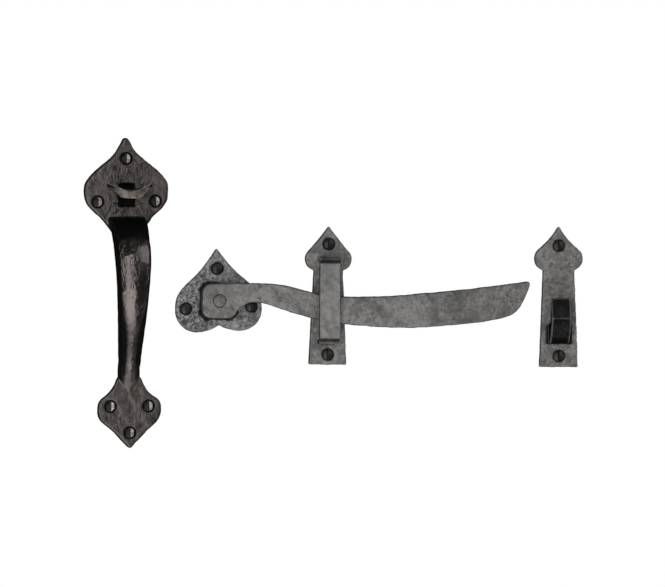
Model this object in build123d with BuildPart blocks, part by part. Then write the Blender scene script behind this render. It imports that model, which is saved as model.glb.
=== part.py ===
from build123d import *
import os
from math import cos, radians, sin, sqrt

# A rustic black iron thumb latch for a gate: the pull handle with its thumb lever for the outside,
# and for the inside a latch bar on a heart-shaped pivot plate, a guide with a staple that the bar
# travels in, and a catch whose hook holds the bar. The fittings are laid out side by side as one set.
#
# Lengths are in millimetres. The origin is on the gate's face at the latch bar's pivot.
# +X runs along the gate towards the catch, +Y runs into the gate, +Z is up.
# Every plate lies flat on the gate's face, y = 0, and stands out of it towards -Y.

# Slotted wood screws with raised countersunk heads
screw_length = 25.0
screw_shank_radius = 2.1
screw_plain_length = 10.0
screw_thread_radius = 1.7
screw_point_length = 5.0
screw_head_radius = 3.65
screw_dome_height = 1.0
screw_slot_width = 1.2
screw_slot_depth = 1.1
screw_hole_clearance = 0.15
head_recess = 0.3
head_clearance = 0.1

# Pull handle: one casting with a plate at each end of the grip
handle_x = -65.8
handle_z = 78.8
handle_lean = 0.8
handle_plate_thickness = 4.2
handle_edge_round = 1.6
top_plate_height = 36.7
top_plate_half_width = 30.1
top_plate_tip_radius = 2.6
root_half_width = 13.5
root_foot_half_width = 10.5
root_top = -18.5
root_bottom = -30.0
root_start = 1.0
bottom_plate_drop = 156.2
bottom_plate_half_width = 22.7
bottom_plate_point = 26.9
bottom_plate_tip_radius = 2.2
bottom_plate_tip_cut = 0.9
bottom_plate_neck_half_width = 8.8
bottom_plate_neck_rise = 24.0
bottom_plate_neck_round = 4.0
top_screw_inset = 14.5
top_side_screw_inset = 9.5
top_side_screw_drop = 8.3
bottom_side_screw_inset = 9.1
bottom_side_screw_rise = 2.8
bottom_screw_inset = 10.9
grip_reach = 43.0
grip_crest_drop = 52.0
grip_half_width = 13.1
grip_waist_half_width = 8.9
grip_depth = 12.5
grip_foot_depth = 8.6
grip_foot_rise = 14.0
grip_foot_reach = 1.0
grip_flank_slope = 2.4
grip_crown = 2.6
grip_corner_radius = 0.9

# Thumb lever: a dished pad on a blade that passes through the handle's top plate
thumb_slot_width = 10.0
thumb_slot_height = 16.0
thumb_slot_drop = 3.7
thumb_slot_corner = 0.5
thumb_pin_radius = 1.25
thumb_pin_length = 18.0
thumb_pin_rise = 0.4
pin_seat_clearance = 0.06
pin_running_clearance = 0.06
lever_side_clearance = 0.35
lever_top_clearance = 1.0
lever_eye_clearance = 0.2
heel_clearance = 0.2
blade_heel_drop = 4.0
heel_front = 2.2
heel_back = 5.0
pad_half_width = 16.2
pad_depth = 22.0
pad_reach = 34.0
pad_rise = 0.3
pad_dish = 0.8
pad_thickness = 2.8
pad_bow_radius = 26.0
pad_lip_drop = 6.6
pad_lip_trim = 0.4
pad_neck_round = 4.0
tail_length = 75.0
tail_drop = 5.0
tail_end_thickness = 4.0
tail_end_half_width = 3.0

# Pivot plate, with the rivet and washer that carry the latch bar
plate_point_round = 0.8
pivot_plate_lean = 2.2
pivot_plate_thickness = 4.0
heart_height = 37.6
heart_half_width = 30.9
heart_lobe_drop = 21.6
heart_notch_drop = 17.0
heart_edge_round = 1.1
heart_top_screw_inset = 14.6
heart_side_screw_inset = 7.5
heart_side_screw_drop = 4.6
rivet_radius = 3.0
rivet_seat_clearance = 0.05
rivet_running_clearance = 0.06
rivet_end_play = 0.1
rivet_back_head_radius = 5.0
rivet_back_recess = 0.3
rivet_front_head_radius = 4.2
rivet_front_head_height = 1.0
washer_radius = 8.5
washer_thickness = 1.4

# Latch bar
bar_thickness = 5.0
bar_eye_half_width = 12.4
bar_eye_corner = 7.0
bar_eye_corner_turn = 30.0
bar_length = 222.8
bar_tip_rise = 14.0
bar_tip_round = 1.5
bar_front_round = 1.2
bar_back_round = 0.5

# Guide: a spear-topped plate and the staple that stands on it
guide_x = 78.5
guide_lean = -0.6
guide_plate_thickness = 4.6
guide_edge_round = 1.0
guide_top = 53.3
guide_bottom = -45.1
guide_neck_half_width = 10.4
guide_foot_half_width = 13.4
guide_shoulder = (14.5, 35.2)
guide_flank_hollow = 0.4
neck_height = 21.9
guide_top_screw_inset = 12.8
guide_foot_screw_inset = 7.1
staple_width = 15.2
staple_height = 61.4
staple_thickness = 3.0
staple_bend_radius = 5.0
bar_play = 1.2
staple_tenon_width = 10.0
tenon_clearance = 0.05
tenon_recess = 0.3

# Catch: a spear-topped plate and the hook that holds the bar
catch_x = 244.2
catch_plate_thickness = 4.6
catch_edge_round = 1.0
catch_top = 53.3
catch_bottom = -46.9
catch_neck_half_width = 11.2
catch_foot_half_width = 13.8
catch_shoulder = (14.0, 37.0)
catch_flank_hollow = 1.0
catch_top_screw_inset = 13.9
catch_foot_screw_inset = 7.8
hook_width = 14.2
hook_crest = 2.1
hook_crest_thickness = 2.4
hook_nose_height = -12.4
hook_nose_reach = 18.4
hook_nose_round = 1.2
hook_foot = -30.2
hook_notch_floor = -14.9
hook_edge_round = 0.8
hook_base_thickness = 1.4
hook_base_width = 19.4
hook_base_top = -17.4
hook_base_bottom = -31.0
hook_tenon_width = 9.0
hook_tenon_height = 8.0


def gate_plane(x, z, lean=0.0):
    """The gate's face at one fitting: local x to the right, local y up, local z out of the gate."""
    return Plane(
        origin=(x, 0, z),
        x_dir=(cos(radians(lean)), 0, sin(radians(lean))),
        z_dir=(0, -1, 0),
    )


def side_plane(face):
    """The upright plane through a fitting's middle: local x out of the gate, local y up."""
    return Plane(face.origin, x_dir=face.z_dir, z_dir=-face.x_dir)


# Places and sizes that follow from the ones above
handle_face = gate_plane(handle_x, handle_z, handle_lean)
lower_face = Plane(
    handle_face.from_local_coords((0, -bottom_plate_drop, 0)),
    x_dir=handle_face.x_dir,
    z_dir=handle_face.z_dir,
)
handle_side = side_plane(handle_face)
pivot_face = gate_plane(0, 0, pivot_plate_lean)
bar_face = gate_plane(0, 0)
guide_face = gate_plane(guide_x, 0, guide_lean)
catch_face = gate_plane(catch_x, 0)

screw_hole_radius = screw_shank_radius + screw_hole_clearance
countersink_radius = screw_head_radius + head_recess + head_clearance
bar_back = pivot_plate_thickness + washer_thickness + rivet_end_play
bar_front = bar_back + bar_thickness
bar_way = bar_front + bar_play

top_side_screw_reach = top_plate_half_width - top_side_screw_inset
bottom_side_screw_reach = bottom_plate_half_width - bottom_side_screw_inset
heart_side_screw_reach = heart_half_width - heart_side_screw_inset
top_screws = {
    "handle_screw_top": (0, top_plate_height - top_screw_inset),
    "handle_screw_upper_left": (-top_side_screw_reach, -top_side_screw_drop),
    "handle_screw_upper_right": (top_side_screw_reach, -top_side_screw_drop),
}
bottom_screws = {
    "handle_screw_lower_left": (-bottom_side_screw_reach, bottom_side_screw_rise),
    "handle_screw_lower_right": (bottom_side_screw_reach, bottom_side_screw_rise),
    "handle_screw_bottom": (0, bottom_screw_inset - bottom_plate_point),
}
pivot_screws = {
    "pivot_screw_top": (0, heart_height - heart_top_screw_inset),
    "pivot_screw_left": (-heart_side_screw_reach, -heart_side_screw_drop),
    "pivot_screw_right": (heart_side_screw_reach, -heart_side_screw_drop),
}
guide_screws = {
    "guide_screw_top": (0, guide_top - guide_top_screw_inset),
    "guide_screw_bottom": (0, guide_bottom + guide_foot_screw_inset),
}
catch_screws = {
    "catch_screw_top": (0, catch_top - catch_top_screw_inset),
    "catch_screw_bottom": (0, catch_bottom + catch_foot_screw_inset),
}


def finish_part(builder, name):
    """Labels a finished piece and writes its file."""
    builder.part.label = name
    export_step(builder.part, f"parts/{name}.step")


def round_front_rims(builder, radius):
    """Rounds the outer rim of every plate that a casting has on its front."""
    rims = ShapeList()
    for front in builder.faces().filter_by(Axis.Y).group_by(Axis.Y)[0]:
        rims.extend(front.outer_wire().edges())
    fillet(rims, radius)


def sink_screw_holes(face, thickness, places):
    """Sinks a screw hole through a plate at each place."""
    with Locations(face.offset(thickness).location):
        with Locations(*places):
            CounterSinkHole(screw_hole_radius, countersink_radius, thickness, 90)


def make_screw(name, face, thickness, place):
    """A slotted wood screw seated in its countersink, with its slot upright."""
    seat = face.offset(thickness).from_local_coords((*place, 0))
    rim = -head_recess
    crown = rim + screw_dome_height
    cone_end = rim - (screw_head_radius - screw_shank_radius)
    plain_end = rim - screw_plain_length
    tip = rim - screw_length
    dome_radius = (screw_head_radius**2 + screw_dome_height**2) / (2 * screw_dome_height)
    half_way = screw_head_radius / 2
    dome_middle = crown - dome_radius + sqrt(dome_radius**2 - half_way**2)
    with BuildPart() as screw:
        with BuildSketch(Plane(seat, x_dir=face.x_dir, z_dir=-face.y_dir)):
            with BuildLine():
                ThreePointArc((0, crown), (half_way, dome_middle), (screw_head_radius, rim))
                Polyline(
                    (screw_head_radius, rim),
                    (screw_shank_radius, cone_end),
                    (screw_shank_radius, plain_end),
                    (screw_thread_radius, plain_end),
                    (screw_thread_radius, tip + screw_point_length),
                    (0, tip),
                    (0, crown),
                )
            make_face()
        revolve(axis=Axis(seat, face.z_dir))
        with BuildSketch(Plane(seat, x_dir=face.x_dir, z_dir=face.z_dir).offset(crown)):
            Rectangle(screw_slot_width, 2 * (screw_head_radius + screw_slot_width))
        extrude(amount=-screw_slot_depth, mode=Mode.SUBTRACT)
    finish_part(screw, name)


def middle_corners(builder):
    """The corners of a mirrored outline that lie on its middle line."""
    return builder.vertices().group_by(lambda corner: round(abs(corner.X), 3))[0]


def top_plate_outline():
    """The onion-shaped top plate: its right half, then the mirror image."""
    with BuildSketch() as plate:
        with BuildLine():
            tip = CenterArc(
                (0, top_plate_height - top_plate_tip_radius), top_plate_tip_radius, 90, -60
            )
            flank = Spline(
                tip @ 1,
                (0.26 * top_plate_half_width, 0.71 * top_plate_height),
                (0.48 * top_plate_half_width, 0.54 * top_plate_height),
                (0.77 * top_plate_half_width, 0.345 * top_plate_height),
                (0.95 * top_plate_half_width, 0.17 * top_plate_height),
                (top_plate_half_width, 0),
                tangents=[tip % 1, (0, -1)],
            )
            foot = Spline(
                flank @ 1,
                (0.915 * top_plate_half_width, 0.36 * root_bottom),
                (0.675 * top_plate_half_width, 0.6 * root_bottom),
                (root_foot_half_width, root_bottom),
                tangents=[(0, -1), (-0.8, -1)],
            )
            Polyline(foot @ 1, (0, root_bottom), (0, top_plate_height))
        make_face()
        mirror(about=Plane.YZ)
    return plate.sketch


def bottom_plate_outline():
    """The leaf-shaped bottom plate: its right half, then the mirror image."""
    with BuildSketch() as plate:
        with BuildLine():
            neck = Line(
                (0, bottom_plate_neck_rise), (bottom_plate_neck_half_width, bottom_plate_neck_rise)
            )
            flare = Spline(
                neck @ 1,
                (0.47 * bottom_plate_half_width, 0.73 * bottom_plate_neck_rise),
                (0.735 * bottom_plate_half_width, 0.44 * bottom_plate_neck_rise),
                (bottom_plate_half_width, 0),
                tangents=[(0.1, -1), (0, -1)],
            )
            lower = Spline(
                flare @ 1,
                (0.9 * bottom_plate_half_width, -0.265 * bottom_plate_point),
                (0.56 * bottom_plate_half_width, -0.53 * bottom_plate_point),
                (0.25 * bottom_plate_half_width, -0.81 * bottom_plate_point),
                (0, -bottom_plate_point - bottom_plate_tip_cut),
                tangents=[(0, -1), (-0.8, -1)],
            )
            Line(lower @ 1, neck @ 0)
        make_face()
        mirror(about=Plane.YZ)
        fillet(plate.vertices().sort_by(Axis.Y)[0], bottom_plate_tip_radius)
        fillet(plate.vertices().group_by(Axis.Y)[-1], bottom_plate_neck_round)
    return plate.sketch


def heart_outline():
    """The heart-shaped pivot plate: its right half, then the mirror image."""
    lobe_radius = heart_half_width / 2
    lobe_y = lobe_radius - heart_lobe_drop
    with BuildSketch() as heart:
        with BuildLine():
            flank = Spline(
                (0, heart_height),
                (0.145 * heart_half_width, 0.83 * heart_height),
                (0.41 * heart_half_width, 0.565 * heart_height),
                (0.85 * heart_half_width, 0.223 * heart_height),
                (heart_half_width, lobe_y),
                tangents=[(0.5, -0.87), (0, -1)],
            )
            lobe = CenterArc((lobe_radius, lobe_y), lobe_radius, 0, -90)
            cheek = TangentArc(lobe @ 1, (0, -heart_notch_drop), tangent=lobe % 1)
            Line(cheek @ 1, flank @ 0)
        make_face()
        mirror(about=Plane.YZ)
        fillet(middle_corners(heart), plate_point_round)
    return heart.sketch


def spear_outline(top, bottom, shoulder, hollow, neck_half_width, foot_half_width):
    """A spear-topped plate: its right half, then the mirror image."""
    with BuildSketch() as spear:
        with BuildLine():
            flank = SagittaArc((0, top), shoulder, -hollow)
            lobe = TangentArc(flank @ 1, (neck_half_width, neck_height), tangent=flank % 1)
            Polyline(lobe @ 1, (foot_half_width, bottom), (0, bottom), (0, top))
        make_face()
        mirror(about=Plane.YZ)
        fillet(middle_corners(spear), plate_point_round)
        fillet(spear.vertices().group_by(Axis.Y)[0], plate_point_round)
    return spear.sketch


os.makedirs("parts", exist_ok=True)

# The grip's centre line, in the handle's side plane: out of the top plate, over and down.
# A station of the grip is its share of that line, the half width of its back, how much narrower its
# front is, its depth, and the height of its front's crown.
root_middle = (root_top + root_bottom) / 2
grip_foot = grip_foot_rise - bottom_plate_drop
root_flare = root_half_width - root_foot_half_width
with BuildLine() as grip_line:
    Spline(
        (root_start, root_middle),
        (0.67 * grip_reach, 0.73 * root_middle - 0.27 * grip_crest_drop),
        (grip_reach, -grip_crest_drop),
        (0.86 * grip_reach, -0.7 * grip_crest_drop + 0.3 * grip_foot),
        (0.38 * grip_reach, -0.32 * grip_crest_drop + 0.68 * grip_foot),
        (grip_foot_reach, grip_foot),
        tangents=[(1, 0.05), (-0.15, -1)],
        tangent_scalars=[1, 1],
    )
grip_path = handle_side.from_local_coords(grip_line.line)
grip_stations = (
    (0.0, root_foot_half_width, -root_flare, root_top - root_bottom, 0.25 * grip_crown),
    (0.17, 0.96 * root_half_width, 0.4 * grip_flank_slope, grip_depth, 0.7 * grip_crown),
    (0.33, grip_half_width, grip_flank_slope, grip_depth, grip_crown),
    (0.5, 0.9 * grip_half_width, grip_flank_slope, 0.93 * grip_depth, grip_crown),
    (0.67, 0.785 * grip_half_width, grip_flank_slope, 0.8 * grip_depth, grip_crown),
    (0.83, grip_waist_half_width, grip_flank_slope, grip_foot_depth, grip_crown),
    (1.0, 1.02 * grip_waist_half_width, grip_flank_slope, 0.8 * grip_foot_depth, grip_crown),
)
pin_y = thumb_pin_rise
pin_z = thumb_pin_radius + pin_seat_clearance

with BuildPart() as pull_handle:
    with BuildSketch(handle_face):
        add(top_plate_outline())
    with BuildSketch(lower_face):
        add(bottom_plate_outline())
    extrude(amount=handle_plate_thickness)
    round_front_rims(pull_handle, handle_edge_round)
    for share, half_width, narrowing, depth, crown in grip_stations:
        across = Plane(grip_path @ share, x_dir=handle_face.x_dir, z_dir=grip_path % share)
        shoulder = depth / 2 - crown
        front_half_width = half_width - narrowing
        with BuildSketch(across) as section:
            with BuildLine():
                Polyline(
                    (-front_half_width, shoulder),
                    (-half_width, -depth / 2),
                    (half_width, -depth / 2),
                    (front_half_width, shoulder),
                )
                ThreePointArc(
                    (front_half_width, shoulder), (0, depth / 2), (-front_half_width, shoulder)
                )
            make_face()
            fillet(section.vertices(), grip_corner_radius)
    loft()
    split(bisect_by=handle_face)
    with BuildSketch(handle_face):
        with Locations((0, -thumb_slot_drop)):
            RectangleRounded(thumb_slot_width, thumb_slot_height, thumb_slot_corner)
    extrude(amount=handle_plate_thickness, mode=Mode.SUBTRACT)
    with BuildSketch(handle_side):
        with Locations((pin_z, pin_y)):
            Circle(pin_z)
        with Locations((0, pin_y)):
            Rectangle(2 * pin_z, 2 * pin_z)
    extrude(amount=thumb_pin_length / 2 + pin_seat_clearance, both=True, mode=Mode.SUBTRACT)
    sink_screw_holes(handle_face, handle_plate_thickness, top_screws.values())
    sink_screw_holes(lower_face, handle_plate_thickness, bottom_screws.values())
finish_part(pull_handle, "pull_handle")

with BuildPart() as thumb_pin:
    with BuildSketch(handle_side):
        with Locations((pin_z, pin_y)):
            Circle(thumb_pin_radius)
    extrude(amount=thumb_pin_length / 2, both=True)
finish_part(thumb_pin, "thumb_pin")

# The thumb lever's blade: from its tail behind the gate's face, through the slot, to under the pad
blade_half_width = thumb_slot_width / 2 - lever_side_clearance
slot_top = thumb_slot_height / 2 - thumb_slot_drop
blade_top = slot_top - lever_top_clearance
eye_radius = slot_top - pin_y - lever_eye_clearance
heel_radius = thumb_slot_height - slot_top + pin_y - heel_clearance
pad_back = pad_reach - pad_depth
pad_middle = pad_reach - pad_depth / 2
pad_floor = pad_rise - pad_dish
lip_reach = pad_reach + pad_lip_trim
tail_y = blade_top - tail_drop
lever_plan = Plane(handle_face.origin, x_dir=handle_face.x_dir, z_dir=handle_face.y_dir)

with BuildPart() as lever_blade:
    with BuildSketch(handle_side):
        with BuildLine():
            over = Spline(
                (-tail_length, tail_y),
                (-0.5 * tail_length, 0.6 * blade_top + 0.4 * tail_y),
                (0, blade_top),
                (pad_back, pad_rise),
                (pad_middle, pad_floor),
                tangents=[(1, 0.15), (1, 0)],
            )
            under = Spline(
                (pad_middle, pad_floor - 0.9 * pad_thickness),
                (pad_back, pad_rise - 1.5 * pad_thickness),
                (pin_z, pin_y - blade_heel_drop),
                (-0.5 * tail_length, 0.6 * blade_top + 0.4 * tail_y - 1.25 * tail_end_thickness),
                (-tail_length, tail_y - tail_end_thickness),
                tangents=[(-1, -0.1), (-1, -0.15)],
            )
            Line(over @ 1, under @ 0)
            SagittaArc(under @ 1, over @ 0, tail_end_thickness / 3)
        make_face()
        with Locations((pin_z, pin_y)):
            Circle(eye_radius)
        with BuildSketch():
            with Locations((pin_z, pin_y)):
                Circle(heel_radius)
            with Locations((pin_z - heel_back, pin_y)):
                Rectangle(
                    heel_back + heel_front, heel_radius,
                    align=(Align.MIN, Align.MAX), mode=Mode.INTERSECT,
                )
    extrude(amount=blade_half_width, both=True)
    with BuildSketch(lever_plan.offset(-tail_length)):
        with BuildLine():
            Polyline(
                (tail_end_half_width, tail_length + tail_end_thickness),
                (blade_half_width, 0),
                (blade_half_width, -pad_reach),
                (-blade_half_width, -pad_reach),
                (-blade_half_width, 0),
                (-tail_end_half_width, tail_length + tail_end_thickness),
                close=True,
            )
        make_face()
    extrude(amount=2 * tail_length, mode=Mode.INTERSECT)

with BuildPart() as thumb_lever:
    with BuildSketch(handle_side):
        with BuildLine():
            dish = Spline(
                (pad_back - pad_neck_round, pad_rise),
                (pad_middle, pad_floor),
                (lip_reach - 1.3 * pad_thickness, pad_rise),
                tangents=[(1, 0), (1, 0.1)],
            )
            brow = Spline(
                dish @ 1,
                (lip_reach - 0.3 * pad_thickness, pad_rise - 0.4 * pad_thickness),
                (lip_reach, pad_rise - pad_lip_drop),
                tangents=[dish % 1, (0.1, -1)],
            )
            Polyline(
                brow @ 1,
                (lip_reach - 0.7 * pad_thickness, pad_rise - pad_lip_drop),
                (lip_reach - pad_thickness, pad_rise - 1.6 * pad_thickness),
                (lip_reach - 1.8 * pad_thickness, pad_rise - 1.1 * pad_thickness),
            )
            underside = Spline(
                (lip_reach - 1.8 * pad_thickness, pad_rise - 1.1 * pad_thickness),
                (pad_middle, pad_floor - pad_thickness),
                (pad_back - pad_neck_round, pad_rise - pad_thickness),
                tangents=[(-1, -0.1), (-1, 0)],
            )
            Line(underside @ 1, dish @ 0)
        make_face()
    bow_centre = handle_side.from_local_coords((0, pad_rise + pad_bow_radius, 0))
    revolve(axis=Axis(bow_centre, handle_face.z_dir))
    with BuildSketch(lever_plan.offset(-pad_bow_radius)) as plan:
        with Locations((0, -pad_middle)):
            Ellipse(pad_half_width, pad_depth / 2)
        with Locations((0, -pad_middle / 2 - pad_back / 2)):
            Rectangle(2 * blade_half_width, pad_middle)
    extrude(amount=2 * pad_bow_radius, mode=Mode.INTERSECT)
    add(lever_blade.part)
    with BuildSketch(handle_side):
        with Locations((pin_z, pin_y)):
            Circle(thumb_pin_radius + pin_running_clearance)
    extrude(amount=thumb_slot_width, both=True, mode=Mode.SUBTRACT)
finish_part(thumb_lever, "thumb_lever")

# The pivot plate, washer and rivet. The rivet's back head fills a countersink in the plate's back.
rivet_hole_radius = rivet_radius + rivet_seat_clearance
back_sink_radius = rivet_back_head_radius + rivet_back_recess + rivet_seat_clearance

with BuildPart() as pivot_plate:
    with BuildSketch(pivot_face):
        add(heart_outline())
    extrude(amount=pivot_plate_thickness)
    round_front_rims(pivot_plate, heart_edge_round)
    sink_screw_holes(pivot_face, pivot_plate_thickness, pivot_screws.values())
    with Locations(Plane(pivot_face.origin, z_dir=-pivot_face.z_dir).location):
        CounterSinkHole(rivet_hole_radius, back_sink_radius, pivot_plate_thickness, 90)
finish_part(pivot_plate, "pivot_plate")

with BuildPart() as pivot_washer:
    with BuildSketch(bar_face.offset(pivot_plate_thickness)):
        Circle(washer_radius)
        Circle(rivet_hole_radius, mode=Mode.SUBTRACT)
    extrude(amount=washer_thickness)
finish_part(pivot_washer, "pivot_washer")

with BuildPart() as pivot_rivet:
    with BuildSketch(Plane(bar_face.origin, x_dir=bar_face.x_dir, z_dir=-bar_face.y_dir)):
        head_seat = bar_front + rivet_end_play
        back_head_depth = rivet_back_head_radius - rivet_radius
        with BuildLine():
            Polyline(
                (0, head_seat + rivet_front_head_height),
                (0, rivet_back_recess),
                (rivet_back_head_radius, rivet_back_recess),
                (rivet_radius, rivet_back_recess + back_head_depth),
                (rivet_radius, head_seat),
                (rivet_front_head_radius, head_seat),
            )
            TangentArc(
                (0, head_seat + rivet_front_head_height),
                (rivet_front_head_radius, head_seat),
                tangent=(1, 0),
            )
        make_face()
    revolve(axis=Axis(bar_face.origin, bar_face.z_dir))
finish_part(pivot_rivet, "pivot_rivet")

# The latch bar: a square eye with rounded corners, a bowed back, a deep middle and a swept end
# that rises to a point. Its belly runs into the eye's lower corner.
eye_corner_middle = bar_eye_half_width - bar_eye_corner
corner_run = Vector(cos(radians(bar_eye_corner_turn)), -sin(radians(bar_eye_corner_turn)))
with BuildPart() as latch_bar:
    with BuildSketch(bar_face.offset(bar_back)) as outline:
        with BuildLine():
            back_edge = Spline(
                (0, bar_eye_half_width),
                (0.1 * bar_length, 1.02 * bar_eye_half_width),
                (0.197 * bar_length, 0.92 * bar_eye_half_width),
                (0.313 * bar_length, 0.43 * bar_eye_half_width),
                (0.453 * bar_length, 0.2 * bar_tip_rise),
                (0.645 * bar_length, 0.36 * bar_tip_rise),
                (0.837 * bar_length, 0.67 * bar_tip_rise),
                (bar_length, bar_tip_rise),
                tangents=[(1, 0), (1, 0.12)],
            )
            end_edge = Spline(
                back_edge @ 1,
                (0.984 * bar_length, 0.2 * bar_tip_rise),
                (0.956 * bar_length, -0.53 * bar_tip_rise),
                (0.917 * bar_length, -0.835 * bar_tip_rise),
                tangents=[(-0.1, -1), (-1, -0.28)],
            )
            belly_edge = Spline(
                end_edge @ 1,
                (0.837 * bar_length, -1.08 * bar_tip_rise),
                (0.645 * bar_length, -1.335 * bar_tip_rise),
                (0.485 * bar_length, -1.285 * bar_tip_rise),
                (0.313 * bar_length, -1.03 * bar_eye_half_width),
                (0.197 * bar_length, -0.44 * bar_eye_half_width),
                (0.101 * bar_length, -0.1 * bar_eye_half_width),
                Vector(eye_corner_middle, -eye_corner_middle) + corner_run * bar_eye_corner,
                tangents=[end_edge % 1, (corner_run.Y, -corner_run.X)],
            )
            Line(belly_edge @ 1, back_edge @ 0)
        make_face()
        RectangleRounded(2 * bar_eye_half_width, 2 * bar_eye_half_width, bar_eye_corner)
        fillet(outline.vertices().sort_by(Axis.X)[-1], bar_tip_round)
    extrude(amount=bar_thickness)
    sides = latch_bar.faces().filter_by(Axis.Y).sort_by(Axis.Y)
    fillet(sides[0].outer_wire().edges(), bar_front_round)
    fillet(latch_bar.faces().filter_by(Axis.Y).sort_by(Axis.Y)[-1].edges(), bar_back_round)
    with BuildSketch(bar_face.offset(bar_back)):
        Circle(rivet_radius + rivet_running_clearance)
    extrude(amount=bar_thickness, mode=Mode.SUBTRACT)
finish_part(latch_bar, "latch_bar")

# The guide: its staple's legs end in tenons that pass through the plate
leg_middle = (staple_height - staple_thickness) / 2
with BuildPart() as guide_plate:
    with BuildSketch(guide_face):
        add(
            spear_outline(
                guide_top, guide_bottom, guide_shoulder, guide_flank_hollow,
                guide_neck_half_width, guide_foot_half_width,
            )
        )
    extrude(amount=guide_plate_thickness)
    round_front_rims(guide_plate, guide_edge_round)
    sink_screw_holes(guide_face, guide_plate_thickness, guide_screws.values())
    with BuildSketch(guide_face):
        with Locations((0, leg_middle), (0, -leg_middle)):
            Rectangle(
                staple_tenon_width + 2 * tenon_clearance, staple_thickness + 2 * tenon_clearance
            )
    extrude(amount=guide_plate_thickness, mode=Mode.SUBTRACT)
finish_part(guide_plate, "guide_plate")

with BuildPart() as guide_staple:
    staple_depth = bar_way + staple_thickness - guide_plate_thickness
    with BuildSketch(side_plane(guide_face)) as bent_strap:
        with Locations((guide_plate_thickness, 0)):
            Rectangle(staple_depth, staple_height, align=(Align.MIN, Align.CENTER))
        fillet(bent_strap.vertices().group_by(Axis.X)[-1], staple_bend_radius)
        with BuildSketch(mode=Mode.SUBTRACT) as bar_space:
            with Locations((guide_plate_thickness, 0)):
                Rectangle(
                    staple_depth - staple_thickness,
                    staple_height - 2 * staple_thickness,
                    align=(Align.MIN, Align.CENTER),
                )
            fillet(
                bar_space.vertices().group_by(Axis.X)[-1], staple_bend_radius - staple_thickness
            )
    extrude(amount=staple_width / 2, both=True)
    with BuildSketch(guide_face.offset(tenon_recess)):
        with Locations((0, leg_middle), (0, -leg_middle)):
            Rectangle(staple_tenon_width, staple_thickness)
    extrude(amount=guide_plate_thickness - tenon_recess)
finish_part(guide_staple, "guide_staple")

# The catch: its hook stands on a low foot and is held by a tenon through the plate
tenon_y = (hook_base_top + hook_base_bottom) / 2
with BuildPart() as catch_plate:
    with BuildSketch(catch_face):
        add(
            spear_outline(
                catch_top, catch_bottom, catch_shoulder, catch_flank_hollow,
                catch_neck_half_width, catch_foot_half_width,
            )
        )
    extrude(amount=catch_plate_thickness)
    round_front_rims(catch_plate, catch_edge_round)
    sink_screw_holes(catch_face, catch_plate_thickness, catch_screws.values())
    with BuildSketch(catch_face):
        with Locations((0, tenon_y)):
            Rectangle(
                hook_tenon_width + 2 * tenon_clearance, hook_tenon_height + 2 * tenon_clearance
            )
    extrude(amount=catch_plate_thickness, mode=Mode.SUBTRACT)
finish_part(catch_plate, "catch_plate")

with BuildPart() as catch_hook:
    with BuildSketch(side_plane(catch_face)) as hook_side:
        crest_reach = bar_way + hook_crest_thickness
        with BuildLine():
            ramp = Spline(
                (crest_reach, hook_crest),
                (
                    0.55 * crest_reach + 0.45 * hook_nose_reach,
                    0.5 * (hook_crest + hook_nose_height),
                ),
                (hook_nose_reach, hook_nose_height),
            )
            throat = Spline(
                ramp @ 1,
                (0.8 * hook_nose_reach, 0.5 * (hook_nose_height + hook_foot)),
                (catch_plate_thickness + hook_base_thickness, hook_foot),
                tangents=[(-0.1, -1), (-1, -0.3)],
            )
            Polyline(
                throat @ 1,
                (catch_plate_thickness, hook_foot),
                (catch_plate_thickness, hook_notch_floor),
                (bar_way, hook_notch_floor),
                (bar_way, hook_crest),
                ramp @ 0,
            )
        make_face()
        fillet(hook_side.vertices().sort_by(Axis.X)[-1], hook_nose_round)
        fillet(hook_side.vertices().group_by(Axis.Y)[-1], 0.45 * hook_crest_thickness)
    extrude(amount=hook_width / 2, both=True)
    fillet(catch_hook.faces().filter_by(Axis.X).edges(), hook_edge_round)
    with BuildSketch(catch_face.offset(catch_plate_thickness)):
        with Locations((0, tenon_y)):
            RectangleRounded(hook_base_width, hook_base_top - hook_base_bottom, hook_edge_round)
    extrude(amount=hook_base_thickness)
    with BuildSketch(catch_face.offset(tenon_recess)):
        with Locations((0, tenon_y)):
            Rectangle(hook_tenon_width, hook_tenon_height)
    extrude(amount=catch_plate_thickness - tenon_recess)
finish_part(catch_hook, "catch_hook")

screw_rows = (
    (handle_face, handle_plate_thickness, top_screws),
    (lower_face, handle_plate_thickness, bottom_screws),
    (pivot_face, pivot_plate_thickness, pivot_screws),
    (guide_face, guide_plate_thickness, guide_screws),
    (catch_face, catch_plate_thickness, catch_screws),
)
for face, thickness, screws in screw_rows:
    for name, place in screws.items():
        make_screw(name, face, thickness, place)
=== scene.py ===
import math

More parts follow.
